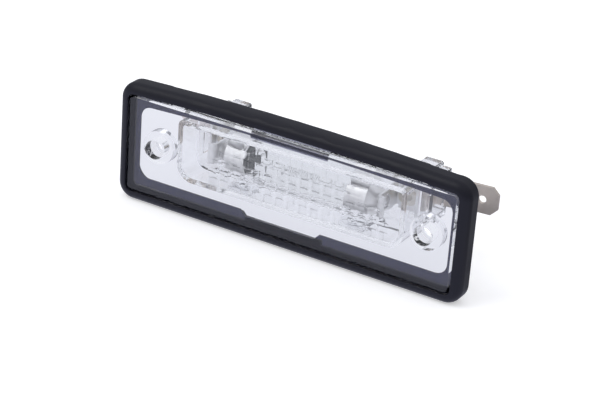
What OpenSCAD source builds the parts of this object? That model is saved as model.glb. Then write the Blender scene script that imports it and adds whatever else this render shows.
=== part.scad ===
// Number plate lamp. A clear moulded lens sits in a black rubber frame, and a clear
// carrier behind it holds a tubular bulb between two contacts.
// Millimetres. The lens faces -Y, the lamp's long side runs along X, and +Z is up.
// The origin is midway between the screw holes, on the plane that the bosses stand on.

/* [Rubber frame] */
// Depth of the frame without its sealing lip
frame_d = 5; // [4.6:0.1:6]
// Outer corner radius, seen from the front
frame_corner_r = 3.8; // [3.2:0.1:5]
// Thickness of the wall around the lens
bead_t = 2.3; // [1.8:0.1:2.6]
// Rounding of the outer front edge
bead_round = 2.1; // [0.8:0.1:2.2]
// Rounding of the outer back edge
back_round = 0.8; // [0.3:0.1:1.2]
// How far the top side of the soft frame bows out at its middle
top_bow = 0.9; // [0.4:0.1:1.4]
// Width of the ledge at the two ends
ledge_end = 2.1; // [1.6:0.1:2.8]
// Width of the ledge along the top and the bottom
ledge_side = 3; // [2.4:0.1:3.4]
// Thickness of the ledge along its free edge
ledge_edge_t = 0.4; // [0.3:0.05:0.8]
// Width of that thin edge
ledge_edge_w = 0.9; // [0.5:0.1:1.3]
// Corner radius of the opening in the ledge
window_r = 2.8; // [1.5:0.1:4]
// Length of the notch in the bottom ledge
notch_w = 19.7; // [16:0.1:22]
// Distance of the notch's middle from the lamp's middle, to the right
notch_x = -1.8; // [-3:0.1:3]
// Depth of the notch
notch_d = 1.2; // [0.5:0.1:1.3]
// Height of the sealing lip on the back
lip_h = 0.5; // [0.3:0.1:0.8]
// Width of the sealing lip
lip_w = 1; // [0.6:0.1:1.4]

/* [Lens] */
// Thickness of the front plate
plate_t = 2.7; // [2.2:0.1:3]
// How far the front of the lens lies behind the front of the frame
face_inset = 0.2; // [0:0.1:0.5]
// Gap between the edge of the lens and the frame
lens_gap = 0.15; // [0.05:0.05:0.3]
// Height of the rim that stands behind the edge of the plate
rim_h = 0.5; // [0.3:0.1:1]
// Width of that rim
rim_w = 0.9; // [0.6:0.1:1.3]
// Length of the bar that thickens the rim at its middle
bar_w = 18.9; // [14:0.1:22]
// Distance of the bar's middle from the lamp's middle, to the right
bar_x = -0.5; // [-2:0.1:2]
// Height of that bar
bar_h = 1.1; // [0.6:0.1:1.2]
// Bevel around the front of the plate
edge_bevel = 0.45; // [0.2:0.05:0.7]
// Diameter of a screw hole
screw_d = 4.4; // [3.6:0.1:4.8]
// Diameter of the boss around a screw hole
boss_d = 7.6; // [7:0.1:8.4]
// Room between a boss and the chamber
boss_room = 1.2; // [0.8:0.1:2]
// Room between a boss and the end of the opening in the ledge
boss_end_room = 1.4; // [0.8:0.1:2]

/* [Light chamber] */
// Room between a contact and the end wall of the chamber
end_room = 1.4; // [1:0.1:2]
// Room between the glass and the chamber's top and bottom
glass_room = 1.25; // [1:0.05:1.6]
// Height of the bulb's axis above the screw line
bulb_z = 1.25; // [1:0.05:1.5]
// Room between the chamber's top and the edge of the ledge
top_room = 0.1; // [0.1:0.05:0.5]
// Radius of the chamber's upper corners
chamber_top_r = 1.5; // [1.3:0.1:2]
// Radius of the chamber's lower corners
chamber_bottom_r = 4; // [3:0.1:4.5]
// Thickness of the chamber's walls
chamber_t = 1.2; // [1:0.1:1.3]
// Distance from the mounting plane back to the joint of lens and carrier
joint_y = 4.5; // [4.1:0.1:4.9]
// Length of one lens pillow
pillow_w = 2.9; // [2.4:0.1:3.4]
// Height of one lens pillow
pillow_h = 1.7; // [1.4:0.05:2]
// Height of a pillow's crown over the plate
pillow_rise = 0.35; // [0.3:0.05:0.5]

/* [Bulb carrier] */
// Room between the glass and the carrier's back wall
back_room = 0.6; // [0.4:0.1:1]
// Thickness of the carrier's back wall
carrier_back_t = 1.4; // [1:0.1:1.6]
// Distance that the two end towers stand behind the back wall
tower_d = 6; // [5.5:0.1:7]
// Length of a tower along X
tower_w = 6.2; // [5.6:0.1:7]
// Height of a tower's roof above the contact strip
tower_head = 2.7; // [2.4:0.1:3]
// Width of a snap hook
hook_w = 6; // [5:0.1:7]
// Thickness of a snap hook
hook_t = 0.9; // [0.7:0.1:1]
// Distance of a snap hook from the middle of the lamp
hook_x = 14; // [12:0.1:16]
// Height of the catch that a hook snaps over
catch_h = 0.6; // [0.4:0.1:0.7]

/* [Bulb] */
// Length of the bulb over its tips
bulb_len = 41; // [40:0.1:41.5]
// Diameter of the glass tube
glass_d = 9.4; // [8.6:0.1:9.6]
// Thickness of the glass
glass_t = 0.6; // [0.4:0.05:0.8]
// Diameter of a cap
cap_d = 8; // [7.6:0.1:8.2]
// Thickness of a cap's sheet metal
cap_t = 0.4; // [0.3:0.05:0.5]
// Length of a cap over its tip
cap_len = 8; // [7.5:0.1:8.5]
// Room between the glass and the crowns of the pillows
front_room = 0.85; // [0.6:0.05:1.2]
// Number of turns in the filament coil
coil_turns = 12; // [8:1:14]
// Diameter of the filament wire
filament_d = 0.2; // [0.14:0.01:0.26]
// Diameter of a lead wire
lead_d = 0.4; // [0.3:0.05:0.6]

/* [Contacts] */
// Width of the blades and the feet of the springs
strip_w = 6.3; // [5.6:0.1:6.6]
// Width of the leaf that holds a tip of the bulb
leaf_w = 4.8; // [4.4:0.1:5.6]
// Thickness of the spring strip
spring_t = 0.5; // [0.4:0.05:0.6]
// Length of a spring's foot
foot_len = 5.5; // [5.2:0.1:6.5]
// Thickness of the blade terminals
blade_t = 0.8; // [0.7:0.05:1]
// Length of a blade from its bend to its tip
blade_len = 13.5; // [11:0.1:15]
// Angle at which a blade leans back
blade_splay = 6; // [0:0.5:8]
// Diameter of the hole in a blade
blade_hole_d = 1.8; // [1.4:0.1:2.2]
// Distance of that hole from the blade's tip
blade_hole_in = 3.6; // [3.2:0.1:4.2]
// Chamfer at the corners of a blade's tip
blade_chamfer = 1.5; // [0.8:0.05:1.8]
// Diameter of a hollow rivet's shank
rivet_d = 2.4; // [2:0.1:2.6]
// Diameter of a hollow rivet's heads
rivet_head_d = 3.6; // [3.2:0.1:3.8]

/* [Hidden] */
$fn = 64;

// Bulb, with lengths measured out from its middle
cap_start = bulb_len / 2 - cap_len;
tip_len = 0.4;
cap_cone = 2.7;
cap_tip_r = 1.3;
cap_shoulder = bulb_len / 2 - tip_len - cap_cone;
glass_end = cap_start - 0.2;
glass_round = 2;
neck_r = cap_d / 2 - cap_t - 0.3;
neck_len = 3.8;
neck_end = cap_start + neck_len;
pinch_t = 1.5;
lead_fit = 0.02;
lead_out = bulb_len / 2 - tip_len - 0.5;
cement_fit = 0.02;
cement_in = 0.4;

// Filament: the tilt of a half turn has the sine 0.28 and the cosine 0.96
coil_r = 0.6;
coil_tilt = atan(7 / 24);
coil_pitch = 4 * coil_r * 7 / 24;
coil_len = coil_turns * coil_pitch;
coil_tail = 0.7;
tail_in = 0.04;
tail_d = filament_d + 0.04;
grip_w = 0.44;
lead_in = coil_len / 2 - grip_w / 4;

// Contacts along X: the leaf at the bulb's tip, the flange at the foot's outer end, the riser
leaf_x = bulb_len / 2 - 0.1 - spring_t;
flange_x = leaf_x + foot_len;
foot_in_x = leaf_x + 1;
riser_out_x = flange_x + 0.3;
riser_in_x = riser_out_x - blade_t;
tip_hole_d = 3.2;
bend_in_r = 0.5;
blade_bend_x = riser_out_x + bend_in_r;
rivet_x = (foot_in_x + riser_in_x - bend_in_r) / 2;
rivet_head_t = 0.4;
rivet_bore_d = rivet_d - 1;
rivet_fit = 0.1;

// The chamber, the screws and the frame follow from the bulb and its contacts
chamber_x = flange_x + end_room + chamber_t;
chamber_top = bulb_z + glass_d / 2 + glass_room + chamber_t;
chamber_bottom = chamber_top - 2 * bulb_z;
screw_x = chamber_x + boss_room + boss_d / 2;
window_x = screw_x + boss_d / 2 + boss_end_room;
window_z = chamber_top + top_room;
frame_w = 2 * (window_x + ledge_end + bead_t);
frame_h = 2 * (window_z + ledge_side + bead_t);

// Frame
inner_round = 0.2;
seam_step = 0.02;
front_round = min(bead_round, bead_t - inner_round);
corner_x = frame_w / 2 - frame_corner_r;
corner_z = frame_h / 2 - frame_corner_r;
lip_inset = 1.4;
ledge_t = frame_d - face_inset - plate_t - rim_h;
ledge_front_y = -ledge_t;

// Lens
lens_x = frame_w / 2 - bead_t - lens_gap;
lens_z = frame_h / 2 - bead_t - lens_gap;
lens_r = frame_corner_r - bead_t - lens_gap;
face_y = face_inset - frame_d;
plate_back_y = face_y + plate_t;
bar_inner_z = lens_z - rim_w - bar_h;

// Pillows: the upper rows start later and end sooner, where the bulb's caps show
pillow_bow_x = 6;
pillow_bow_z = 3.6;
field_left = 8;
field_right = 4;
pillow_columns = floor((2 * chamber_x - field_left - field_right) / pillow_w);
pillow_rows = floor((chamber_top + chamber_bottom - 2 * chamber_t) / pillow_h + 0.01);
upper_rows = 3;
upper_late = 2;
upper_soon = 3;

// Along Y: the bulb stands behind the pillows, the carrier's back wall behind the bulb
bulb_y = plate_back_y + pillow_rise + front_room + glass_d / 2;
back_inner_y = bulb_y + glass_d / 2 + back_room;
carrier_y = back_inner_y + carrier_back_t;
foot_front_y = back_inner_y - spring_t;
leaf_end_y = bulb_y - tip_hole_d / 2 - 1.1;
lip_run = 0.7;
flange_front_y = back_inner_y - 2.4;
tower_y = carrier_y + tower_d;
blade_bend_y = tower_y - 1.3 - bend_in_r;

// Carrier
tower_floor_t = 1.2;
tower_step = 0.9;
tower_step_w = 1.8;
tower_proud = 0.25;
tower_rib = 3;
tower_edge_r = 0.5;
slot_gap = 0.15;
tower_top = bulb_z + strip_w / 2 + tower_head;
tower_inner_bottom = bulb_z - strip_w / 2 - 1.2;
hook_gap = 0.1;
hook_root = 0.6;
hook_root_len = 2;
hook_front_y = 1.4;
catch_y = 2.2;
catch_len = 1;
catch_w = 3.8;
hook_window_gap = 0.3;

// Extra length that lets a cut run past the face it opens
cut = 0.5;

// Stands a flat outline up in XZ, with its extrusion running forward from y_back
module forward(y_back) {
    translate([0, y_back, 0]) rotate([90, 0, 0]) children();
}

// Lays a body that was turned about Z along X
module along_x() {
    rotate([0, 90, 0]) children();
}

module mirror_if(left) {
    if (left) mirror([1, 0, 0]) children();
    else children();
}

function bow_u(a, bow) = (a * a - bow * bow) / (2 * bow);

// A rounded rectangle whose top side is one wide arc that meets the corners smoothly
module bowed_outline(hx, hz, r, bow) {
    a = hx - r;
    c = hz - r;
    u = bow_u(a, bow);
    lean = atan(a / u);
    reach = r + bow + 1;
    square([2 * hx, 2 * c], center = true);
    translate([-a, -hz]) square([2 * a, hz]);
    for (sx = [-1, 1], sz = [-1, 1]) translate([sx * a, sz * c]) circle(r);
    intersection() {
        translate([0, c - u]) circle(sqrt(a * a + u * u) + r, $fn = 720);
        polygon([[-a, c], [a, c],
            [a + reach * sin(lean), c + reach * cos(lean)],
            [-a - reach * sin(lean), c + reach * cos(lean)]]);
    }
}

// A rounded rectangle
module round_outline(hx, hz, r) {
    square([2 * hx, 2 * (hz - r)], center = true);
    square([2 * (hx - r), 2 * hz], center = true);
    for (sx = [-1, 1], sz = [-1, 1]) translate([sx * (hx - r), sz * (hz - r)]) circle(r);
}

// What a quarter round of radius r takes off a corner at the origin
module corner_cut(r) {
    difference() {
        square(r);
        translate([r, r]) circle(r);
    }
}

// Section of the frame's wall: its outer face at 0, its height running to the front, and
// the top side proud of the corners by a fine seam
module bead_section(proud = 0) {
    wide = bead_t + proud;
    high = frame_d + proud;
    difference() {
        translate([-proud, 0]) square([wide + proud, high]);
        translate([-proud, high]) mirror([0, 1]) corner_cut(front_round);
        translate([-proud, 0]) corner_cut(back_round);
        translate([wide, high]) mirror([1, 0]) mirror([0, 1]) corner_cut(inner_round);
    }
}

module bead_corner(sx, sz, start) {
    translate([sx * corner_x, sz * corner_z, 0]) rotate([0, 0, start]) rotate_extrude(angle = 90, $fn = 48)
        translate([frame_corner_r, 0]) mirror([1, 0]) bead_section($fn = 40);
}

module bead_run(distance, half_len) {
    translate([distance, half_len, 0]) rotate([90, 0, 0])
        linear_extrude(2 * half_len) mirror([1, 0]) bead_section($fn = 40);
}

// The top side is one wide arc between the two corners
module bead_bow() {
    bow_r = (corner_x * corner_x + top_bow * top_bow) / (2 * top_bow);
    sweep = 2 * asin((corner_x + 1) / bow_r);
    intersection() {
        translate([0, frame_h / 2 + top_bow - bow_r, 0]) rotate([0, 0, 90 - sweep / 2])
            rotate_extrude(angle = sweep, $fn = 900)
            translate([bow_r, 0]) mirror([1, 0]) bead_section(seam_step, $fn = 40);
        translate([-corner_x, 0, -cut]) cube([2 * corner_x, frame_h, frame_d + 2 * cut]);
    }
}

module bead() {
    bead_run(frame_w / 2, corner_z);
    rotate([0, 0, 180]) bead_run(frame_w / 2, corner_z);
    rotate([0, 0, -90]) bead_run(frame_h / 2, corner_x);
    bead_corner(1, 1, 0);
    bead_corner(-1, 1, 90);
    bead_corner(-1, -1, 180);
    bead_corner(1, -1, 270);
    bead_bow();
}

// Outline of the frame, set in by the given distance
module frame_outline(inset) {
    bowed_outline(frame_w / 2 - inset, frame_h / 2 - inset, frame_corner_r - inset, top_bow);
}

// A notch with slanted ends, cut down from the line z = 0 and wider by the given distance
module notch(more = 0) {
    half = notch_w / 2 + more;
    deep = notch_d + more;
    translate([notch_x, more]) polygon([[-half, cut], [half, cut],
        [half, 0], [half - deep, -deep], [-half + deep, -deep], [-half, 0]]);
}

// The ledge's opening, and what thins its free edge from behind
module ledge_opening(more = 0) {
    bowed_outline(window_x + more, window_z + more, window_r + more, top_bow);
    translate([0, -window_z - more]) notch(more);
}

module rubber_frame() {
    color([0.13, 0.13, 0.15]) {
        forward(0) bead();
        forward(ledge_edge_t - ledge_t) linear_extrude(ledge_edge_t) difference() {
            frame_outline(bead_t / 2);
            ledge_opening();
        }
        forward(0) linear_extrude(ledge_t - ledge_edge_t) difference() {
            frame_outline(bead_t / 2);
            ledge_opening(ledge_edge_w);
        }
        forward(lip_h) linear_extrude(lip_h + 0.2) difference() {
            frame_outline(lip_inset);
            frame_outline(lip_inset + lip_w);
        }
    }
}

// Outline of the light chamber, with small upper and large lower corners
module chamber_outline(inset) {
    hx = chamber_x - inset;
    top = chamber_top - inset;
    bottom = chamber_bottom - inset;
    rt = chamber_top_r - inset * 0.8;
    rb = chamber_bottom_r - inset;
    translate([-hx, -bottom + rb]) square([2 * hx, top + bottom - rt - rb]);
    translate([-hx + rt, -bottom + rb]) square([2 * (hx - rt), top + bottom - rb]);
    translate([-hx + rb, -bottom]) square([2 * (hx - rb), rb + cut]);
    for (side = [-1, 1]) {
        translate([side * (hx - rt), top - rt]) circle(rt);
        translate([side * (hx - rb), rb - bottom]) circle(rb);
    }
}

module chamber_wall() {
    difference() {
        chamber_outline(0);
        chamber_outline(chamber_t);
    }
}

// One pillow of the optic: the crown that two crossed cylinders share over its cell
module pillow() {
    $fn = 36;
    intersection() {
        translate([-pillow_w / 2, -pillow_rise, -pillow_h / 2])
            cube([pillow_w, 2 * pillow_rise, pillow_h]);
        translate([0, pillow_rise - pillow_bow_x, -pillow_h]) cylinder(r = pillow_bow_x, h = 2 * pillow_h);
        translate([-pillow_w, pillow_rise - pillow_bow_z, 0]) along_x() cylinder(r = pillow_bow_z, h = 2 * pillow_w);
    }
}

// The field of pillows, each row shifted half a pillow against the next
module pillow_field() {
    low_z = bulb_z - pillow_rows * pillow_h / 2;
    for (row = [0:pillow_rows - 1]) {
        upper = row >= pillow_rows - upper_rows;
        first = upper ? upper_late : 0;
        last = pillow_columns - 1 - row % 2 - (upper ? upper_soon : 0);
        shift = field_left + (row % 2 + 1) * pillow_w / 2 - chamber_x;
        for (column = [first:last])
            translate([column * pillow_w + shift, plate_back_y, low_z + (row + 0.5) * pillow_h]) pillow();
    }
}

// The plate with a bevel around its front
module plate() {
    mid_x = lens_x - lens_r;
    mid_z = lens_z - lens_r;
    forward(plate_back_y) linear_extrude(plate_t - edge_bevel) round_outline(lens_x, lens_z, lens_r);
    translate([0, face_y + edge_bevel, 0]) rotate([90, 0, 0]) {
        for (sx = [-1, 1], sz = [-1, 1]) translate([sx * mid_x, sz * mid_z, 0])
            cylinder(r1 = lens_r, r2 = lens_r - edge_bevel, h = edge_bevel);
        translate([0, mid_z, 0]) rotate([90, 0, 0]) linear_extrude(2 * mid_z) bevel_outline(lens_x);
        translate([-mid_x, 0, 0]) rotate([90, 0, 90]) linear_extrude(2 * mid_x) bevel_outline(lens_z);
    }
}

module bevel_outline(half) {
    polygon([[-half, 0], [half, 0], [half - edge_bevel, edge_bevel], [edge_bevel - half, edge_bevel]]);
}

module lens() {
    color([0.9, 0.92, 0.96, 0.35]) difference() {
        union() {
            plate();
            forward(ledge_front_y) linear_extrude(ledge_front_y - plate_back_y + cut) difference() {
                round_outline(lens_x, lens_z, lens_r);
                round_outline(lens_x - rim_w, lens_z - rim_w, lens_r - 0.3);
            }
            for (side = [-1, 1])
                forward(ledge_front_y) linear_extrude(ledge_front_y - plate_back_y + cut)
                    translate([bar_x, side * (bar_inner_z + bar_h / 2 + rim_w / 4)])
                    square([bar_w, bar_h + rim_w / 2], center = true);
            for (side = [-1, 1])
                translate([side * screw_x, 0, 0]) rotate([90, 0, 0])
                    cylinder(d = boss_d, h = cut - plate_back_y);
            forward(joint_y) linear_extrude(joint_y - plate_back_y + cut) chamber_wall();
            pillow_field();
            for (side = [-1, 1])
                translate([side * hook_x - catch_w / 2, catch_y, -chamber_bottom - catch_h])
                    cube([catch_w, catch_len, chamber_top + chamber_bottom + 2 * catch_h]);
        }
        forward(joint_y + cut) linear_extrude(joint_y + cut - catch_y + cut) chamber_outline(chamber_t);
        for (side = [-1, 1])
            translate([side * screw_x, cut, 0]) rotate([90, 0, 0])
                cylinder(d = screw_d, h = frame_d + 2 * cut);
    }
}

// One snap hook above the chamber's top, drawn for a surface at z = 0
module hook() {
    root_y = joint_y + hook_root;
    difference() {
        translate([-hook_w / 2, hook_front_y, hook_gap])
            cube([hook_w, root_y + hook_root_len - hook_front_y, hook_t]);
        translate([-catch_w / 2 - hook_window_gap, catch_y - hook_window_gap, hook_gap - cut])
            cube([catch_w + 2 * hook_window_gap, catch_len + 2 * hook_window_gap, hook_t + 2 * cut]);
    }
    translate([-hook_w / 2, root_y, -cut]) cube([hook_w, hook_root_len, hook_gap + 2 * cut]);
}

// A tower seen from behind: a roof with a lower outer step, an outer wall and a floor
module tower_outline() {
    out_x = chamber_x + tower_proud;
    wall_x = out_x - tower_floor_t;
    in_x = chamber_x - tower_w;
    low_top = tower_top - tower_step;
    floor_z = tower_inner_bottom - tower_floor_t;
    r = tower_edge_r;
    translate([wall_x, floor_z]) square([tower_floor_t, low_top - r - floor_z]);
    translate([out_x - tower_step_w, low_top - tower_floor_t]) square([tower_step_w, tower_floor_t - r]);
    translate([out_x - tower_step_w - r, low_top - tower_floor_t]) square([tower_step_w, tower_floor_t]);
    translate([out_x - r, low_top - r]) circle(r);
    translate([in_x, low_top - tower_floor_t]) square([tower_w - tower_step_w, tower_floor_t]);
    translate([in_x, low_top - r]) square([tower_w - tower_step_w, tower_step]);
    translate([in_x + r, low_top]) square([tower_w - tower_step_w - 2 * r, tower_step]);
    for (x = [in_x + r, in_x + tower_w - tower_step_w - r]) translate([x, tower_top - r]) circle(r);
    translate([in_x, floor_z]) square([chamber_x - in_x, tower_floor_t]);
}

module tower() {
    difference() {
        union() {
            forward(tower_y) linear_extrude(tower_d + cut) tower_outline();
            translate([chamber_x + tower_proud - tower_floor_t, carrier_y - tower_rib, tower_inner_bottom])
                cube([tower_floor_t, tower_rib, strip_w]);
        }
        translate([chamber_x - tower_floor_t, blade_bend_y + bend_in_r - slot_gap, bulb_z - strip_w / 2 - slot_gap])
            cube([2 * tower_floor_t, tower_d, strip_w + 2 * slot_gap]);
    }
}

module bulb_carrier() {
    color([0.88, 0.9, 0.94, 0.35]) difference() {
        union() {
            forward(carrier_y) linear_extrude(carrier_y - joint_y) chamber_outline(0);
            for (side = [-1, 1]) {
                translate([side * hook_x, 0, chamber_top]) hook();
                translate([side * hook_x, 0, -chamber_bottom]) mirror([0, 0, 1]) hook();
            }
            tower();
            mirror([1, 0, 0]) tower();
        }
        forward(back_inner_y) linear_extrude(back_inner_y - joint_y + cut) chamber_outline(chamber_t);
        for (side = [-1, 1])
            translate([side * rivet_x, carrier_y + cut, bulb_z]) rotate([90, 0, 0])
                cylinder(d = rivet_d + 2 * rivet_fit, h = carrier_back_t + 2 * cut);
    }
}

// A quarter of a bent strip: outer radius r, thickness t, turning from the start angle
module bend(r, t, start, sweep = 90) {
    far = 3 * r;
    intersection() {
        difference() {
            circle(r);
            circle(r - t);
        }
        polygon([[0, 0], [far * cos(start), far * sin(start)],
            [far * cos(start + sweep / 2), far * sin(start + sweep / 2)],
            [far * cos(start + sweep), far * sin(start + sweep)]]);
    }
}

// The spring's foot seen from above, with the short flange at its outer end
module spring_foot_outline() {
    r = bend_in_r + spring_t;
    translate([leaf_x + r, foot_front_y]) square([foot_len - 2 * r, spring_t]);
    translate([flange_x - r, back_inner_y - r]) bend(r, spring_t, 0);
    translate([flange_x - spring_t, flange_front_y]) square([spring_t, back_inner_y - r - flange_front_y]);
}

// The leaf seen from above, from its bend at the foot to the lip that guides the bulb in
module spring_leaf_outline() {
    r = bend_in_r + spring_t;
    translate([leaf_x + r, back_inner_y - r]) bend(r, spring_t, 90);
    translate([leaf_x, leaf_end_y]) square([spring_t, back_inner_y - r - leaf_end_y]);
    translate([leaf_x + r, leaf_end_y]) bend(r, spring_t, 180, 90);
    translate([leaf_x + r, leaf_end_y - r]) square([lip_run, spring_t]);
}

module contact_spring(left) {
    color([0.72, 0.68, 0.6]) mirror_if(left) difference() {
        union() {
            translate([0, 0, bulb_z - strip_w / 2]) linear_extrude(strip_w) spring_foot_outline();
            translate([0, 0, bulb_z - leaf_w / 2]) linear_extrude(leaf_w) spring_leaf_outline();
        }
        translate([leaf_x - cut, bulb_y, bulb_z]) along_x() cylinder(d = tip_hole_d, h = spring_t + 2 * cut);
        translate([rivet_x, back_inner_y + cut, bulb_z]) rotate([90, 0, 0])
            cylinder(d = rivet_d + 2 * rivet_fit, h = spring_t + 2 * cut);
    }
}

// The riser's upper end, its bend and the blade, as a filled shape less the space in front of it
module riser_and_blade() {
    r = bend_in_r + blade_t;
    low = carrier_y + r;
    far = 2 * blade_len;
    difference() {
        union() {
            translate([riser_in_x, low]) square([r, blade_bend_y - low]);
            translate([blade_bend_x, blade_bend_y]) {
                circle(r);
                rotate(blade_splay) square([blade_len, r]);
            }
        }
        translate([riser_out_x, low - r]) square([far, blade_bend_y - low + r]);
        translate([blade_bend_x, blade_bend_y]) {
            circle(bend_in_r);
            rotate(blade_splay) translate([0, bend_in_r - far]) square([far, far]);
        }
    }
}

// The terminal seen from above: a foot, a bend, and the riser with the blade
module terminal_outline() {
    r = bend_in_r + blade_t;
    translate([foot_in_x, carrier_y]) square([riser_out_x - r - foot_in_x, blade_t]);
    translate([riser_out_x - r, carrier_y + r]) bend(r, blade_t, 270);
    riser_and_blade();
}

module blade_terminal(left) {
    color([0.66, 0.62, 0.56]) mirror_if(left) difference() {
        translate([0, 0, bulb_z - strip_w / 2]) linear_extrude(strip_w) terminal_outline();
        translate([rivet_x, carrier_y + blade_t + cut, bulb_z]) rotate([90, 0, 0])
            cylinder(d = rivet_d + 2 * rivet_fit, h = blade_t + 2 * cut);
        translate([blade_bend_x, blade_bend_y, bulb_z]) rotate([0, 0, blade_splay]) {
            translate([blade_len - blade_hole_in, bend_in_r + blade_t + cut, 0]) rotate([90, 0, 0])
                cylinder(d = blade_hole_d, h = blade_t + 2 * cut);
            for (side = [-1, 1])
                translate([blade_len, bend_in_r - cut, side * strip_w / 2]) rotate([0, 45, 0])
                    translate([-blade_chamfer / sqrt(2), 0, -blade_chamfer / sqrt(2)])
                    cube([sqrt(2) * blade_chamfer, blade_t + 2 * cut, sqrt(2) * blade_chamfer]);
        }
    }
}

module rivets() {
    color([0.75, 0.72, 0.62]) for (left = [true, false]) mirror_if(left)
        translate([rivet_x, 0, bulb_z]) rotate([-90, 0, 0]) difference() {
            union() {
                translate([0, 0, foot_front_y - rivet_head_t])
                    cylinder(d = rivet_d, h = carrier_y + blade_t - foot_front_y + 2 * rivet_head_t);
                translate([0, 0, foot_front_y - rivet_head_t]) cylinder(d = rivet_head_d, h = rivet_head_t);
                translate([0, 0, carrier_y + blade_t]) cylinder(d = rivet_head_d, h = rivet_head_t);
            }
            translate([0, 0, foot_front_y - rivet_head_t - cut])
                cylinder(d = rivet_bore_d, h = carrier_y + blade_t - foot_front_y + 2 * (rivet_head_t + cut));
        }
}

// Places a body turned about Z on the bulb's axis
module on_bulb_axis(left = false) {
    mirror_if(left) translate([0, bulb_y, bulb_z]) along_x() children();
}

// Half of the glass in section: radius across, length along the bulb
module glass_half(wall, end) {
    round_r = glass_round - wall;
    body_r = glass_d / 2 - wall;
    square([body_r, glass_end - glass_round]);
    translate([body_r - round_r, glass_end - glass_round]) circle(round_r);
    square([body_r - round_r, glass_end - wall]);
    square([neck_r - wall, end]);
}

module bulb_glass() {
    color([0.93, 0.95, 0.97, 0.3]) on_bulb_axis() for (half = [0, 1]) mirror([0, 0, half]) difference() {
        rotate_extrude() intersection() {
            glass_half(0, neck_end);
            square([glass_d, bulb_len]);
        }
        rotate_extrude() intersection() {
            glass_half(glass_t, neck_end - pinch_t);
            square([glass_d, bulb_len]);
        }
        cylinder(d = lead_d + 2 * lead_fit, h = bulb_len);
    }
}

module bulb_cap(left) {
    r = cap_d / 2;
    color([0.74, 0.73, 0.7]) on_bulb_axis(left) rotate_extrude() polygon([
        [r, cap_start], [r, cap_shoulder], [cap_tip_r, cap_shoulder + cap_cone],
        [cap_tip_r - cap_t, cap_shoulder + cap_cone], [cap_tip_r - cap_t, cap_shoulder + cap_cone - cap_t],
        [r - cap_t, cap_shoulder - cap_t / 2], [r - cap_t, cap_start]]);
}

module cap_cement(left) {
    color([0.85, 0.83, 0.78]) on_bulb_axis(left) translate([0, 0, cap_start + cement_in]) difference() {
        cylinder(r = cap_d / 2 - cap_t - cement_fit, h = neck_len - cement_in);
        translate([0, 0, -cut]) cylinder(r = neck_r + cement_fit, h = neck_len + 2 * cut);
    }
}

// The solder that closes a cap and makes its rounded tip
module solder_tip(left) {
    base = bulb_len / 2 - tip_len;
    crown_r = (tip_len * tip_len + cap_tip_r * cap_tip_r) / (2 * tip_len);
    color([0.8, 0.8, 0.82]) on_bulb_axis(left) {
        intersection() {
            translate([0, 0, bulb_len / 2 - crown_r]) sphere(crown_r, $fn = 96);
            translate([0, 0, base]) cylinder(r = cap_tip_r, h = tip_len + cut);
        }
        translate([0, 0, lead_out]) cylinder(r = cap_tip_r - cap_t - 0.1, h = base - lead_out);
    }
}

// A wire from the cap to the coil, with a flattened end that grips the coil's tail
module lead_wire(left) {
    side = left ? -1 : 1;
    color([0.6, 0.58, 0.55]) difference() {
        union() {
            on_bulb_axis(left) translate([0, 0, lead_in]) cylinder(d = lead_d, h = lead_out - lead_in, $fn = 24);
            translate([side * (coil_len / 2 + grip_w / 4) - grip_w / 2, bulb_y, bulb_z])
                translate([0, side > 0 ? 0.1 : -coil_tail + 0.1, -coil_r - grip_w / 2])
                cube([grip_w, coil_tail - 0.2, coil_r + grip_w / 2 + lead_d / 2]);
        }
        translate([side * coil_len / 2, bulb_y - coil_tail - cut, bulb_z - coil_r]) rotate([-90, 0, 0])
            cylinder(d = tail_d + 2 * lead_fit, h = 2 * (coil_tail + cut), $fn = 16);
    }
}

// Half a turn of the coil, tilted so that it climbs half a pitch
module half_turn(side) {
    rotate([0, side * coil_tilt, 0]) rotate([0, 0, side > 0 ? 0 : 180]) rotate_extrude(angle = 180, $fn = 32)
        translate([coil_r / cos(coil_tilt), 0]) circle(d = filament_d, $fn = 13);
}

module filament() {
    color([0.35, 0.35, 0.38]) on_bulb_axis() {
        for (turn = [0:coil_turns - 1]) translate([0, 0, -coil_len / 2 + turn * coil_pitch]) {
            translate([0, 0, coil_pitch / 4]) half_turn(1);
            translate([0, 0, coil_pitch * 3 / 4]) half_turn(-1);
        }
        for (end = [-1, 1]) translate([coil_r, -end * tail_in, end * coil_len / 2]) rotate([-end * 90, 0, 0])
            cylinder(d = tail_d, h = coil_tail + tail_in, $fn = 16);
    }
}

rubber_frame();
lens();
bulb_carrier();
contact_spring(true);  // contact_spring_left
contact_spring(false);  // contact_spring_right
blade_terminal(true);  // blade_terminal_left
blade_terminal(false);  // blade_terminal_right
rivets();
bulb_glass();
bulb_cap(true);  // bulb_cap_left
bulb_cap(false);  // bulb_cap_right
cap_cement(true);  // cap_cement_left
cap_cement(false);  // cap_cement_right
solder_tip(true);  // solder_tip_left
solder_tip(false);  // solder_tip_right
lead_wire(true);  // lead_wire_left
lead_wire(false);  // lead_wire_right
filament();
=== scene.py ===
"""Number plate lamp: finer pieces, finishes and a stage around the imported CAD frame."""

import math

import bmesh
import bpy
from mathutils import Matrix, Vector


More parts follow.
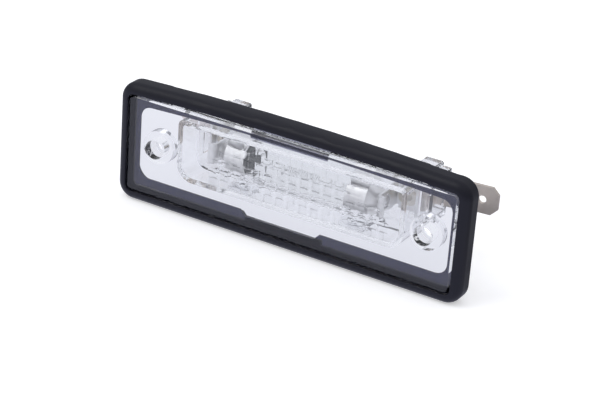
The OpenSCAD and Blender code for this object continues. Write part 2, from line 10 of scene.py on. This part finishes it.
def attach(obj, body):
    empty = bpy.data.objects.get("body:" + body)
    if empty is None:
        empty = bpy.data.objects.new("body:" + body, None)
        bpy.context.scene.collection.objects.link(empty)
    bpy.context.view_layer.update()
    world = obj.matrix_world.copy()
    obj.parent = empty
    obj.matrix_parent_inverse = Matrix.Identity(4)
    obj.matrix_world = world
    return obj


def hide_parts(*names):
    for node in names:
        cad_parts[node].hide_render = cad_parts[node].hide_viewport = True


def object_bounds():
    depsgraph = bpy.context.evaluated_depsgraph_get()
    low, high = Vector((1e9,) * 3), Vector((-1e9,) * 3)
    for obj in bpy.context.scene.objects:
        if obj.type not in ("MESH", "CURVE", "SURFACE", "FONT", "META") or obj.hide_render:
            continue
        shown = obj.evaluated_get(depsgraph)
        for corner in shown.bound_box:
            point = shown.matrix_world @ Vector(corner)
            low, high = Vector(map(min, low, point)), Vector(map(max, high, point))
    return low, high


bl_info = {
    "name": "Number Plate Lamp",
    "version": (1, 0, 0),
    "blender": (4, 5, 0),
    "location": "View3D > Sidebar > Lamp",
    "description": "Builds the looks of a number plate lamp around its CAD frame",
    "category": "Object",
}

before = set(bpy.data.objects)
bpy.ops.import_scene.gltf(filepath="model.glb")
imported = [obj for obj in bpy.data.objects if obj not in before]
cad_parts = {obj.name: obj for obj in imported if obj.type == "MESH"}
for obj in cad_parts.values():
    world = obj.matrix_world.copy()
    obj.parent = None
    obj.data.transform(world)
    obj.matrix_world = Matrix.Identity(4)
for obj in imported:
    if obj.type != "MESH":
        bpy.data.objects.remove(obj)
CAD_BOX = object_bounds()
MM = 0.001
SIDES = ("left", "right")

# Places in the lamp, in mm: the plate's front and back, the pillows' tops, the rubber ledge, the
# face where lens and carrier meet, the bulb's axis and the bar behind the plate's upper edge
PLATE_FRONT_Y = -4.8
PLATE_BACK_Y = -2.1
CROWN_Y = -1.74
LEDGE_Y = -1.6
LEDGE_HALF_X = 39.5
LEDGE_HALF_Z = 10.8
JOINT_Y = 4.5
BULB_Y = 3.8
BULB_Z = 1.25
BAR_X = -0.5
BAR_HALF = 9.45
BAR_Z = 9.0
BAR_SHOWS_Z = 9.9

# The pillows' pattern, in mm: the middle and half sizes of its field, where its cells start and
# how far its rows bow
FIELD_X = 2.5
FIELD_Y = -1.93
FIELD_HALF_X = 20.5
FIELD_HALF_Z = 4.6
CELL_X = 2.4
CELL_Z = -0.7
ROW_BOW = 0.16

# Hairs in mm by which the scene's pieces differ from the CAD, and the share of its radius that the
# bulb's glass keeps
PILLOW_SINK = 0.165
BAR_SEAT = 0.012
JOINT_EASE = 0.04
WIRE_DRAW = 0.045
GLASS_SLIM = 0.993

# How the camera is turned
CAMERA_RIGHT = Vector((0.8556, 0.5132, 0.0680))
CAMERA_AHEAD = Vector((-0.4381, 0.7878, -0.4330))


class LampFinishes(bpy.types.PropertyGroup):
    """Colours and surface values of the lamp's materials"""

    rubber_color: bpy.props.FloatVectorProperty(
        name="Rubber", description="Colour of the rubber frame", subtype="COLOR",
        size=3, min=0, max=1, default=(0.006, 0.0063, 0.0122))
    # Painted reflection: the ledge's bluish colour stands in for the light that the plate mirrors over
    # the black rubber
    ledge_reflection_color: bpy.props.FloatVectorProperty(
        name="Rubber ledge", description="Colour of the rubber ledge behind the plate",
        subtype="COLOR", size=3, min=0, max=1, default=(0.013, 0.0145, 0.07))
    rubber_roughness: bpy.props.FloatProperty(
        name="Rubber roughness", description="How matt the rubber is", min=0, max=1, default=0.42)
    clear_color: bpy.props.FloatVectorProperty(
        name="Clear plastic", description="Tint of the lens and the carrier", subtype="COLOR",
        size=3, min=0, max=1, default=(0.975, 0.98, 0.99))
    # Painted shade: a dark bluish grey painted into the clear plastic where the upper bar sits on the
    # rubber
    bar_painted_shade: bpy.props.FloatVectorProperty(
        name="Upper bar", description="Tint of the bar behind the plate's upper edge",
        subtype="COLOR", size=3, min=0, max=1, default=(0.2, 0.2, 0.28))
    pillow_width: bpy.props.FloatProperty(
        name="Pillow width", description="Width of each pillow in mm", default=2.8)
    pillow_height: bpy.props.FloatProperty(
        name="Pillow height", description="Height of each pillow in mm", default=2.08)
    # Painted shade: the pillows' light shade and dark arcs stand in for the shading that refraction gives
    pillow_painted_shade: bpy.props.FloatProperty(
        name="Pillow shade", description="How much each pillow shades the plate",
        min=0, max=1, default=0.09)
    pillow_painted_arcs: bpy.props.FloatProperty(
        name="Pillow arcs", description="How dark the arcs between the pillows are",
        min=0, max=1, default=0.85)
    glass_color: bpy.props.FloatVectorProperty(
        name="Bulb glass", description="Tint of the bulb's glass", subtype="COLOR",
        size=3, min=0, max=1, default=(0.98, 0.985, 0.98))
    cap_color: bpy.props.FloatVectorProperty(
        name="Cap metal", description="Colour of the bulb's caps", subtype="COLOR",
        size=3, min=0, max=1, default=(0.96, 0.95, 0.93))
    cement_color: bpy.props.FloatVectorProperty(
        name="Cement", description="Colour of the cement in the caps", subtype="COLOR",
        size=3, min=0, max=1, default=(0.93, 0.92, 0.9))
    solder_color: bpy.props.FloatVectorProperty(
        name="Solder", description="Colour of the bulb's solder tips", subtype="COLOR",
        size=3, min=0, max=1, default=(0.88, 0.88, 0.89))
    wire_color: bpy.props.FloatVectorProperty(
        name="Wire", description="Colour of the bulb's wires", subtype="COLOR",
        size=3, min=0, max=1, default=(0.94, 0.94, 0.95))
    spring_color: bpy.props.FloatVectorProperty(
        name="Spring metal", description="Colour of the contact springs", subtype="COLOR",
        size=3, min=0, max=1, default=(0.95, 0.945, 0.94))
    blade_color: bpy.props.FloatVectorProperty(
        name="Blade metal", description="Colour of the tinned blades", subtype="COLOR",
        size=3, min=0, max=1, default=(0.74, 0.67, 0.6))
    rivet_color: bpy.props.FloatVectorProperty(
        name="Rivet metal", description="Colour of the hollow rivets", subtype="COLOR",
        size=3, min=0, max=1, default=(0.68, 0.64, 0.56))


class LampStageValues(bpy.types.PropertyGroup):
    """Values of the studio around the lamp"""

    floor_size: bpy.props.FloatProperty(
        name="Floor size", description="Length of each side of the floor", unit="LENGTH", default=3.0)
    floor_color: bpy.props.FloatVectorProperty(
        name="Floor", description="Colour of the floor", subtype="COLOR",
        size=3, min=0, max=1, default=(0.8, 0.8, 0.8))
    floor_glow: bpy.props.FloatVectorProperty(
        name="Floor glow", description="Glow that keeps the floor white to the camera",
        subtype="COLOR", size=3, min=0, max=1, default=(0.42, 0.42, 0.42))
    floor_through: bpy.props.FloatVectorProperty(
        name="Floor seen through", description="Colour of the floor through clear pieces",
        subtype="COLOR", size=3, min=0, max=1, default=(0.1, 0.1, 0.105))
    glow_through: bpy.props.FloatVectorProperty(
        name="Floor glow seen through", description="Glow of the floor through clear pieces",
        subtype="COLOR", size=3, min=0, max=1, default=(0.72, 0.73, 0.785))
    # Painted shadow: through clear pieces the floor just behind the lamp glows a little dimmer
    glow_near_shadowed: bpy.props.FloatVectorProperty(
        name="Near floor glow", description="Glow of the floor just behind the lamp through clear pieces",
        subtype="COLOR", size=3, min=0, max=1, default=(0.7, 0.71, 0.765))
    floor_mirrored: bpy.props.FloatVectorProperty(
        name="Floor in reflections", description="Colour of the floor in reflections",
        subtype="COLOR", size=3, min=0, max=1, default=(0.3, 0.3, 0.33))
    glow_mirrored: bpy.props.FloatVectorProperty(
        name="Floor glow in reflections", description="Glow in reflections of the floor in front",
        subtype="COLOR", size=3, min=0, max=1, default=(0.78, 0.8, 1.0))
    # Painted shadow: in reflections the floor behind the lamp glows dimmer
    glow_behind_shadowed: bpy.props.FloatVectorProperty(
        name="Rear floor glow in reflections", description="Glow in reflections of the floor behind",
        subtype="COLOR", size=3, min=0, max=1, default=(0.2, 0.2, 0.22))
    world_strength: bpy.props.FloatProperty(
        name="World light", description="Strength of the soft light from above", default=1.0)
    horizon_strength: bpy.props.FloatProperty(
        name="Horizon light", description="Strength of the soft light from the sides", default=0.42)
    sky_tint: bpy.props.FloatVectorProperty(
        name="Light tint", description="Tint of the soft light",
        subtype="COLOR", size=3, min=0, max=1, default=(0.93, 0.94, 1.0))
    seen_color: bpy.props.FloatVectorProperty(
        name="Seen through", description="What the surroundings look like through clear pieces",
        subtype="COLOR", size=3, min=0, max=1, default=(0.82, 0.835, 0.89))
    key_power: bpy.props.FloatProperty(
        name="Key light", description="Power of the large light above", default=1.25)
    fill_power: bpy.props.FloatProperty(
        name="Fill light", description="Power of the light at the front", default=0.35)
    bounces: bpy.props.IntProperty(
        name="Bounces", description="How often light may turn inside the clear pieces",
        min=8, max=64, default=32)
    camera_place: bpy.props.FloatVectorProperty(
        name="Camera place", description="Where the camera stands", subtype="XYZ", unit="LENGTH",
        size=3, default=(0.195978, -0.349930, 0.188783))
    focal_length: bpy.props.FloatProperty(
        name="Focal length", description="Focal length on a 36 mm sensor, in mm", default=125.6)


def finishes():
    return bpy.context.scene.lamp_finishes


class Nodes:
    """The node tree of a material or a world, with short calls to add and join nodes."""

    def __init__(self, owner, output="ShaderNodeOutputMaterial"):
        self.owner = owner
        owner.use_nodes = True
        self.tree = owner.node_tree
        self.tree.nodes.clear()
        self.output = self.add(output)

    def add(self, kind, **values):
        node = self.tree.nodes.new(kind)
        for key, value in values.items():
            setattr(node, key, value)
        return node

    def join(self, source, target):
        self.tree.links.new(source, target)

    def place(self):
        """Object coordinates in millimetres."""
        where = self.add("ShaderNodeTexCoord")
        mapping = self.add("ShaderNodeMapping")
        mapping.inputs["Scale"].default_value = (1 / MM,) * 3
        self.join(where.outputs["Object"], mapping.inputs["Vector"])
        return mapping.outputs["Vector"]

    def axes(self, vector):
        """The three parts of a vector."""
        split = self.add("ShaderNodeSeparateXYZ")
        self.join(vector, split.inputs[0])
        return tuple(split.outputs)

    def noise(self, scale, detail=4.0, roughness=0.55):
        node = self.add("ShaderNodeTexNoise")
        node.inputs["Scale"].default_value = scale
        node.inputs["Detail"].default_value = detail
        node.inputs["Roughness"].default_value = roughness
        self.join(self.place(), node.inputs["Vector"])
        return node.outputs["Fac"]

    def to_range(self, source, low, high, start=0.3, end=0.7):
        node = self.add("ShaderNodeMapRange")
        node.inputs["From Min"].default_value = start
        node.inputs["From Max"].default_value = end
        node.inputs["To Min"].default_value = low
        node.inputs["To Max"].default_value = high
        self.join(source, node.inputs["Value"])
        return node.outputs["Result"]

    def ramp(self, source, start, end):
        """Zero at start, one at end, and smooth between the two."""
        node = self.add("ShaderNodeMapRange", interpolation_type="SMOOTHSTEP")
        node.inputs["From Min"].default_value = start
        node.inputs["From Max"].default_value = end
        self.join(source, node.inputs["Value"])
        return node.outputs["Result"]

    def blend_colors(self, factor, low, high):
        """Between two colours, each a tuple or another node's output."""
        node = self.add("ShaderNodeMix", data_type="RGBA")
        for socket, color in (("A", low), ("B", high)):
            if isinstance(color, bpy.types.NodeSocket):
                self.join(color, node.inputs[socket])
            else:
                node.inputs[socket].default_value = (*color, 1)
        self.join(factor, node.inputs["Factor"])
        return node.outputs["Result"]

    def math(self, operation, *values):
        """A math node's result from numbers and other nodes' outputs."""
        node = self.add("ShaderNodeMath", operation=operation)
        for socket, value in zip(node.inputs, values):
            if isinstance(value, bpy.types.NodeSocket):
                self.join(value, socket)
            else:
                socket.default_value = value
        return node.outputs[0]

    def times(self, first, *others):
        """The product of numbers and other nodes' outputs."""
        for other in others:
            first = self.math("MULTIPLY", first, other)
        return first

    def within(self, source, middle, inner, outer):
        """One within inner of the middle, and zero beyond outer."""
        away = self.math("ABSOLUTE", self.math("SUBTRACT", source, middle))
        return self.math("SUBTRACT", 1.0, self.ramp(away, inner, outer))

    def cell(self, source, pitch, start):
        """Zero in the middle of each cell along a line, and one at its borders."""
        part = self.math("FRACT", self.math("DIVIDE", self.math("SUBTRACT", source, start), pitch))
        return self.math("MULTIPLY", self.math("ABSOLUTE", self.math("SUBTRACT", part, 0.5)), 2.0)

    def bump(self, height, strength, distance, normal=None):
        node = self.add("ShaderNodeBump")
        node.inputs["Strength"].default_value = strength
        node.inputs["Distance"].default_value = distance
        self.join(height, node.inputs["Height"])
        if normal:
            self.join(normal, node.inputs["Normal"])
        return node.outputs["Normal"]

    def principled(self, **values):
        shader = self.add("ShaderNodeBsdfPrincipled")
        for name, value in values.items():
            shader.inputs[name.replace("_", " ")].default_value = value
        self.join(shader.outputs["BSDF"], self.output.inputs["Surface"])
        return shader


def new_material(name):
    return Nodes(bpy.data.materials.new(name))


def shade(color, factor):
    return tuple(min(part * factor, 1) for part in color)


def rubber_material(name, color, ledge_reflection_color, roughness):
    """Matt rubber with a fine grain. On the ledge behind the plate its colour is a painted bluish
    reflection, which stands in for the light that the plate mirrors over it.
    """
    m = new_material(name)
    shader = m.principled(Specular_IOR_Level=0.22)
    grain = m.noise(6.0, 6.0)
    cloud = m.noise(0.12, 3.0)
    x, y, z = m.axes(m.place())
    # Painted reflection: the ledge behind the plate gets a bluish colour in place of the light that the
    # plate mirrors over it
    wide = m.within(x, 0.0, LEDGE_HALF_X, LEDGE_HALF_X + 1.5)
    high = m.within(z, 0.0, LEDGE_HALF_Z, LEDGE_HALF_Z + 1.2)
    ledge = m.times(wide, high, m.within(y, LEDGE_Y, 0.1, 0.3))
    bead = m.blend_colors(cloud, shade(color, 0.85), shade(color, 1.35))
    m.join(m.blend_colors(ledge, bead, ledge_reflection_color), shader.inputs["Base Color"])
    m.join(m.to_range(cloud, roughness - 0.05, roughness + 0.07), shader.inputs["Roughness"])
    m.join(m.bump(grain, 0.12, 0.04 * MM), shader.inputs["Normal"])
    return m.owner


def ripple(m):
    """The faint waves of a moulded or drawn clear surface."""
    return m.bump(m.noise(0.35, 2.0), 0.05, 0.02 * MM)


def clear_material(name, color, ior=1.49, roughness=0.0, clarity=1.0):
    m = new_material(name)
    shader = m.principled(IOR=ior, Transmission_Weight=clarity, Roughness=roughness)
    shader.inputs["Base Color"].default_value = (*color, 1)
    m.join(ripple(m), shader.inputs["Normal"])
    return m.owner


def lens_material(name, values):
    """Clear plastic with painted shade on the back of the plate: dark arcs between the pillows and a
    light shade over each, in place of the shading that refraction gives. The upper bar, and the plate's
    front before it, get a painted dark bluish grey in place of the rubber seen through them."""
    m = new_material(name)
    shader = m.principled(IOR=1.49, Transmission_Weight=1.0, Roughness=0.0)
    x, y, z = m.axes(m.place())

    column = m.cell(x, values.pillow_width, CELL_X)
    bow = m.times(column, column, ROW_BOW)
    row = m.cell(m.math("ADD", z, bow), values.pillow_height, CELL_Z)
    wide = m.within(x, FIELD_X, FIELD_HALF_X, FIELD_HALF_X + 2.0)
    high = m.within(z, 0.0, FIELD_HALF_Z, FIELD_HALF_Z + 0.8)
    field = m.times(m.within(y, FIELD_Y, 0.2, 0.24), wide, high)
    # Painted shade: dark arcs between the pillows and a light shade over each, in place of the shading of
    # refraction
    arc_shade = m.times(m.ramp(row, 0.75, 0.95), m.within(column, 0.0, 0.5, 0.85))
    arc_shade = m.times(arc_shade, m.to_range(m.noise(0.22, 1.0), 0.15, 1.0, 0.4, 0.6), values.pillow_painted_arcs)
    body = m.times(m.math("SUBTRACT", 1.0, m.ramp(column, 0.6, 0.95)), values.pillow_painted_shade)
    dark = m.times(m.math("MAXIMUM", arc_shade, body), field)
    pillow_shaded = m.blend_colors(dark, values.clear_color, shade(values.clear_color, 0.15))

    # Painted shade: the upper bar and the plate's front before it get a dark bluish grey in place of the
    # rubber seen through them
    wide = m.within(x, BAR_X, BAR_HALF - 0.25, BAR_HALF + 0.05)
    high = m.ramp(z, BAR_Z - 0.1, BAR_Z + 0.1)
    bar = m.times(wide, high, m.ramp(y, PLATE_BACK_Y - 0.2, PLATE_BACK_Y - 0.05))
    wide = m.within(x, BAR_X + 1.0, BAR_HALF - 0.15, BAR_HALF + 0.05)
    high = m.ramp(z, BAR_SHOWS_Z - 0.1, BAR_SHOWS_Z + 0.1)
    front = m.times(wide, high, m.ramp(y, PLATE_FRONT_Y + 0.6, PLATE_FRONT_Y + 0.4))
    bar_shaded = m.blend_colors(m.math("MAXIMUM", bar, front), pillow_shaded, values.bar_painted_shade)
    m.join(bar_shaded, shader.inputs["Base Color"])

    crown = m.math("ADD", m.times(column, column, -0.04), m.times(row, row, -0.07))
    m.join(m.bump(m.times(crown, field), 1.0, MM, ripple(m)), shader.inputs["Normal"])
    return m.owner


def metal_material(name, color, roughness):
    m = new_material(name)
    shader = m.principled(Metallic=1.0)
    cloud = m.noise(0.5, 5.0)
    grain = m.noise(9.0, 3.0)
    m.join(m.blend_colors(cloud, shade(color, 0.82), shade(color, 1.1)), shader.inputs["Base Color"])
    m.join(m.to_range(grain, roughness - 0.06, roughness + 0.1), shader.inputs["Roughness"])
    m.join(m.bump(grain, 0.1, 0.02 * MM), shader.inputs["Normal"])
    return m.owner


def cement_material(name, color):
    m = new_material(name)
    shader = m.principled(Roughness=0.8)
    cloud = m.noise(1.5, 5.0)
    m.join(m.blend_colors(cloud, shade(color, 0.8), color), shader.inputs["Base Color"])
    m.join(m.bump(cloud, 0.3, 0.05 * MM), shader.inputs["Normal"])
    return m.owner


def dress(node, material, smooth_angle=32.0, adjust=None):
    """Makes a merged copy of a CAD node with smooth shading, which stands for the node. adjust may
    move the copy's vertices by hairs before it is shaded."""
    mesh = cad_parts[node].data.copy()
    mesh.name = node + "_piece"
    bm = bmesh.new()
    bm.from_mesh(mesh)
    bmesh.ops.remove_doubles(bm, verts=bm.verts, dist=0.002 * MM)
    if adjust:
        adjust(bm)
    limit = math.radians(smooth_angle)
    for face in bm.faces:
        face.smooth = True
    for edge in bm.edges:
        edge.smooth = len(edge.link_faces) == 2 and edge.calc_face_angle(0) < limit
    bm.to_mesh(mesh)
    bm.free()
    mesh.materials.clear()
    mesh.materials.append(material)
    piece = bpy.data.objects.new(node + "_piece", mesh)
    bpy.context.scene.collection.objects.link(piece)
    weights = piece.modifiers.new("Face weights", "WEIGHTED_NORMAL")
    weights.keep_sharp = True
    weights.weight = 100
    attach(piece, "root")
    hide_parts(node)


def ease_joint(bm):
    """Moves the carrier's joint face back, so that two clear faces never coincide."""
    joint = [face for face in bm.faces
             if face.normal.y < -0.99 and abs(face.calc_center_median().y - JOINT_Y * MM) < 0.02 * MM]
    touching = {vert for face in joint for vert in face.verts}
    bmesh.ops.translate(bm, vec=(0, JOINT_EASE * MM, 0), verts=list(touching))


def ease_lens(bm):
    """Sinks the pillows into the plate, so that their field has no hard rim, and seats the upper
    bar on the rubber, which then shows through it."""
    crowns = [vert for vert in bm.verts
              if (PLATE_BACK_Y + PILLOW_SINK) * MM < vert.co.y < CROWN_Y * MM
              and abs(vert.co.x) < 27 * MM and abs(vert.co.z) < 8 * MM]
    bmesh.ops.translate(bm, vec=(0, -PILLOW_SINK * MM, 0), verts=crowns)
    bar = [vert for vert in bm.verts
           if abs(vert.co.y - LEDGE_Y * MM) < 0.01 * MM
           and abs(vert.co.x - BAR_X * MM) < (BAR_HALF + 0.15) * MM and vert.co.z > BAR_Z * MM]
    bmesh.ops.translate(bm, vec=(0, BAR_SEAT * MM, 0), verts=bar)


def slim_glass(bm):
    """Takes a hair off the bulb's radius, so that the glass clears the cement."""
    axis = Matrix.Translation((0, -BULB_Y * MM, -BULB_Z * MM))
    bmesh.ops.scale(bm, vec=(1, GLASS_SLIM, GLASS_SLIM), space=axis, verts=bm.verts)


def draw_wire(bm):
    """Makes wire finer than the CAD's."""
    bm.normal_update()
    for vert, inward in [(vert, vert.normal * -WIRE_DRAW * MM) for vert in bm.verts]:
        vert.co += inward


class LAMP_OT_rubber_frame(bpy.types.Operator):
    """Makes the black rubber frame"""

    bl_idname = "lamp.rubber_frame"
    bl_label = "Rubber Frame"

    def execute(self, context):
        f = finishes()
        rubber = rubber_material("black rubber", f.rubber_color, f.ledge_reflection_color, f.rubber_roughness)
        dress("rubber_frame", rubber)
        return {"FINISHED"}


class LAMP_OT_lens(bpy.types.Operator):
    """Makes the clear lens with its pillows"""

    bl_idname = "lamp.lens"
    bl_label = "Lens"

    def execute(self, context):
        dress("lens", lens_material("clear acrylic", finishes()), 24.0, ease_lens)
        return {"FINISHED"}


class LAMP_OT_bulb_carrier(bpy.types.Operator):
    """Makes the clear bulb carrier, which is a little less clear than the lens"""

    bl_idname = "lamp.bulb_carrier"
    bl_label = "Bulb Carrier"

    def execute(self, context):
        acrylic = clear_material("natural acrylic", finishes().clear_color, roughness=0.06, clarity=0.95)
        dress("bulb_carrier", acrylic, adjust=ease_joint)
        return {"FINISHED"}


class LAMP_OT_bulb_glass(bpy.types.Operator):
    """Makes the bulb's glass"""

    bl_idname = "lamp.bulb_glass"
    bl_label = "Bulb Glass"

    def execute(self, context):
        glass = clear_material("bulb glass", finishes().glass_color, ior=1.12)
        dress("bulb_glass", glass, 50.0, slim_glass)
        return {"FINISHED"}


class LAMP_OT_bulb_caps(bpy.types.Operator):
    """Makes the bulb's caps with their cement and solder tips"""

    bl_idname = "lamp.bulb_caps"
    bl_label = "Bulb Caps"

    def execute(self, context):
        f = finishes()
        cap = metal_material("cap metal", f.cap_color, 0.36)
        cement = cement_material("cap cement", f.cement_color)
        solder = metal_material("solder", f.solder_color, 0.38)
        for side in SIDES:
            dress("bulb_cap_" + side, cap, 40.0)
            dress("cap_cement_" + side, cement)
            dress("solder_tip_" + side, solder, 50.0)
        return {"FINISHED"}


class LAMP_OT_bulb_wires(bpy.types.Operator):
    """Makes the bulb's lead wires and filament"""

    bl_idname = "lamp.bulb_wires"
    bl_label = "Bulb Wires"

    def execute(self, context):
        wire = metal_material("drawn wire", finishes().wire_color, 0.4)
        for side in SIDES:
            dress("lead_wire_" + side, wire, adjust=draw_wire)
        dress("filament", wire, 60.0, draw_wire)
        return {"FINISHED"}


class LAMP_OT_contact_springs(bpy.types.Operator):
    """Makes the springs that hold the bulb"""

    bl_idname = "lamp.contact_springs"
    bl_label = "Contact Springs"

    def execute(self, context):
        bronze = metal_material("tinned bronze", finishes().spring_color, 0.36)
        for side in SIDES:
            dress("contact_spring_" + side, bronze)
        return {"FINISHED"}


class LAMP_OT_blade_terminals(bpy.types.Operator):
    """Makes the blade terminals"""

    bl_idname = "lamp.blade_terminals"
    bl_label = "Blade Terminals"

    def execute(self, context):
        brass = metal_material("tinned brass", finishes().blade_color, 0.36)
        for side in SIDES:
            dress("blade_terminal_" + side, brass)
        return {"FINISHED"}


class LAMP_OT_rivets(bpy.types.Operator):
    """Makes the two hollow rivets"""

    bl_idname = "lamp.rivets"
    bl_label = "Rivets"

    def execute(self, context):
        dress("rivets", metal_material("plated rivet", finishes().rivet_color, 0.3))
        return {"FINISHED"}


class LAMP_OT_stage(bpy.types.Operator):
    """Makes the floor, the lights, the world and the camera"""

    bl_idname = "lamp.stage"
    bl_label = "Stage"

    def execute(self, context):
        v = context.scene.lamp_stage
        self.floor(v)
        self.world(v)
        self.light("key light", (-0.30, -0.32, 0.60), 0.45, v.key_power)
        self.light("fill light", (-0.5, -0.7, 0.25), 0.5, v.fill_power)
        self.camera(v)
        context.scene.view_settings.view_transform = "Standard"
        cycles = context.scene.cycles
        cycles.max_bounces = v.bounces
        cycles.glossy_bounces = v.bounces
        cycles.transmission_bounces = v.bounces
        return {"FINISHED"}

    def floor(self, v):
        bm = bmesh.new()
        bmesh.ops.create_grid(bm, x_segments=1, y_segments=1, size=v.floor_size / 2)
        bmesh.ops.translate(bm, vec=(0, 0, CAD_BOX[0][2] - 0.02 * MM), verts=bm.verts)
        mesh = bpy.data.meshes.new("floor")
        bm.to_mesh(mesh)
        bm.free()
        floor = bpy.data.objects.new("floor", mesh)
        bpy.context.scene.collection.objects.link(floor)
        mesh.materials.append(self.floor_material(v))

    def floor_material(self, v):
        """A white floor that has colours of its own in mirrors and through clear pieces. Its glow shows
        on camera, glossy and transmission rays only, and is dimmer behind the lamp in reflections and
        just behind it through clear pieces, which paints the lamp's shadow there."""
        m = new_material("pale floor")
        path = m.add("ShaderNodeLightPath").outputs
        through = path["Is Transmission Ray"]
        mirrored = path["Is Glossy Ray"]
        depth = m.axes(m.place())[1]
        diffuse = m.add("ShaderNodeBsdfDiffuse")
        direct = m.blend_colors(mirrored, v.floor_color, v.floor_mirrored)
        m.join(m.blend_colors(through, direct, v.floor_through), diffuse.inputs["Color"])
        glow = m.add("ShaderNodeEmission")
        # Painted shadow: in reflections the floor behind the lamp glows dimmer than the floor in front
        in_mirror = m.blend_colors(m.ramp(depth, 10, -10), v.glow_behind_shadowed, v.glow_mirrored)
        direct = m.blend_colors(mirrored, v.floor_glow, in_mirror)
        # Painted shadow: through clear pieces the floor just behind the lamp glows a little dimmer
        beyond = m.blend_colors(m.ramp(depth, 14, 46), v.glow_near_shadowed, v.glow_through)
        m.join(m.blend_colors(through, direct, beyond), glow.inputs["Color"])
        seen = m.math("MAXIMUM", m.math("MAXIMUM", path["Is Camera Ray"], mirrored), through)
        m.join(seen, glow.inputs["Strength"])
        both = m.add("ShaderNodeAddShader")
        m.join(diffuse.outputs[0], both.inputs[0])
        m.join(glow.outputs[0], both.inputs[1])
        m.join(both.outputs[0], m.output.inputs["Surface"])
        return m.owner

    def world(self, v):
        """Soft light from above that fades to the sides. The camera sees white, and clear pieces
        show a pale grey."""
        world = bpy.data.worlds.new("studio")
        bpy.context.scene.world = world
        w = Nodes(world, "ShaderNodeOutputWorld")
        path = w.add("ShaderNodeLightPath").outputs
        height = w.axes(w.add("ShaderNodeTexCoord").outputs["Generated"])[2]
        horizon = tuple(part * v.horizon_strength for part in v.sky_tint)
        zenith = tuple(part * v.world_strength for part in v.sky_tint)
        sky = w.blend_colors(w.ramp(height, 0, 1), horizon, zenith)
        through = w.blend_colors(path["Is Transmission Ray"], sky, v.seen_color)
        back = w.add("ShaderNodeBackground")
        w.join(w.blend_colors(path["Is Camera Ray"], through, (1, 1, 1)), back.inputs["Color"])
        w.join(back.outputs[0], w.output.inputs["Surface"])

    def light(self, name, place, size, power):
        """A round light that looks at the lamp."""
        data = bpy.data.lights.new(name, "AREA")
        data.shape = "DISK"
        data.size = size
        data.energy = power
        lamp = bpy.data.objects.new(name, data)
        bpy.context.scene.collection.objects.link(lamp)
        look = (-Vector(place)).to_track_quat("-Z", "Y")
        lamp.matrix_world = Matrix.Translation(Vector(place)) @ look.to_matrix().to_4x4()

    def camera(self, v):
        data = bpy.data.cameras.new("camera")
        data.lens = v.focal_length
        data.sensor_width = 36.0
        data.sensor_fit = "HORIZONTAL"
        data.clip_start = 10 * MM
        camera = bpy.data.objects.new("camera", data)
        bpy.context.scene.collection.objects.link(camera)
        right = CAMERA_RIGHT.normalized()
        ahead = (CAMERA_AHEAD - CAMERA_AHEAD.dot(right) * right).normalized()
        turn = Matrix((right, right.cross(ahead), -ahead)).transposed().to_4x4()
        camera.matrix_world = Matrix.Translation(Vector(v.camera_place)) @ turn
        bpy.context.scene.camera = camera


class LAMP_PT_panel(bpy.types.Panel):
    """Lists the lamp's pieces, finishes and stage"""

    bl_idname = "LAMP_PT_panel"
    bl_label = "Number Plate Lamp"
    bl_space_type = "VIEW_3D"
    bl_region_type = "UI"
    bl_category = "Lamp"

    def draw(self, context):
        layout = self.layout
        for operator in OPERATORS:
            layout.operator(operator.bl_idname)
        for group in (context.scene.lamp_finishes, context.scene.lamp_stage):
            box = layout.box()
            for name in group.bl_rna.properties.keys():
                if name not in ("rna_type", "name"):
                    box.prop(group, name)


OPERATORS = (
    LAMP_OT_rubber_frame, LAMP_OT_lens, LAMP_OT_bulb_carrier, LAMP_OT_bulb_glass, LAMP_OT_bulb_caps,
    LAMP_OT_bulb_wires, LAMP_OT_contact_springs, LAMP_OT_blade_terminals, LAMP_OT_rivets, LAMP_OT_stage)
CLASSES = (LampFinishes, LampStageValues) + OPERATORS + (LAMP_PT_panel,)


def register():
    for item in CLASSES:
        bpy.utils.register_class(item)
    bpy.types.Scene.lamp_finishes = bpy.props.PointerProperty(type=LampFinishes)
    bpy.types.Scene.lamp_stage = bpy.props.PointerProperty(type=LampStageValues)


def unregister():
    del bpy.types.Scene.lamp_stage
    del bpy.types.Scene.lamp_finishes
    for item in reversed(CLASSES):
        bpy.utils.unregister_class(item)


def main():
    register()
    bpy.ops.lamp.rubber_frame()
    bpy.ops.lamp.lens()
    bpy.ops.lamp.bulb_carrier()
    bpy.ops.lamp.bulb_glass()
    bpy.ops.lamp.bulb_caps()
    bpy.ops.lamp.bulb_wires()
    bpy.ops.lamp.contact_springs()
    bpy.ops.lamp.blade_terminals()
    bpy.ops.lamp.rivets()
    bpy.ops.lamp.stage()


if __name__ == "__main__":
    main()
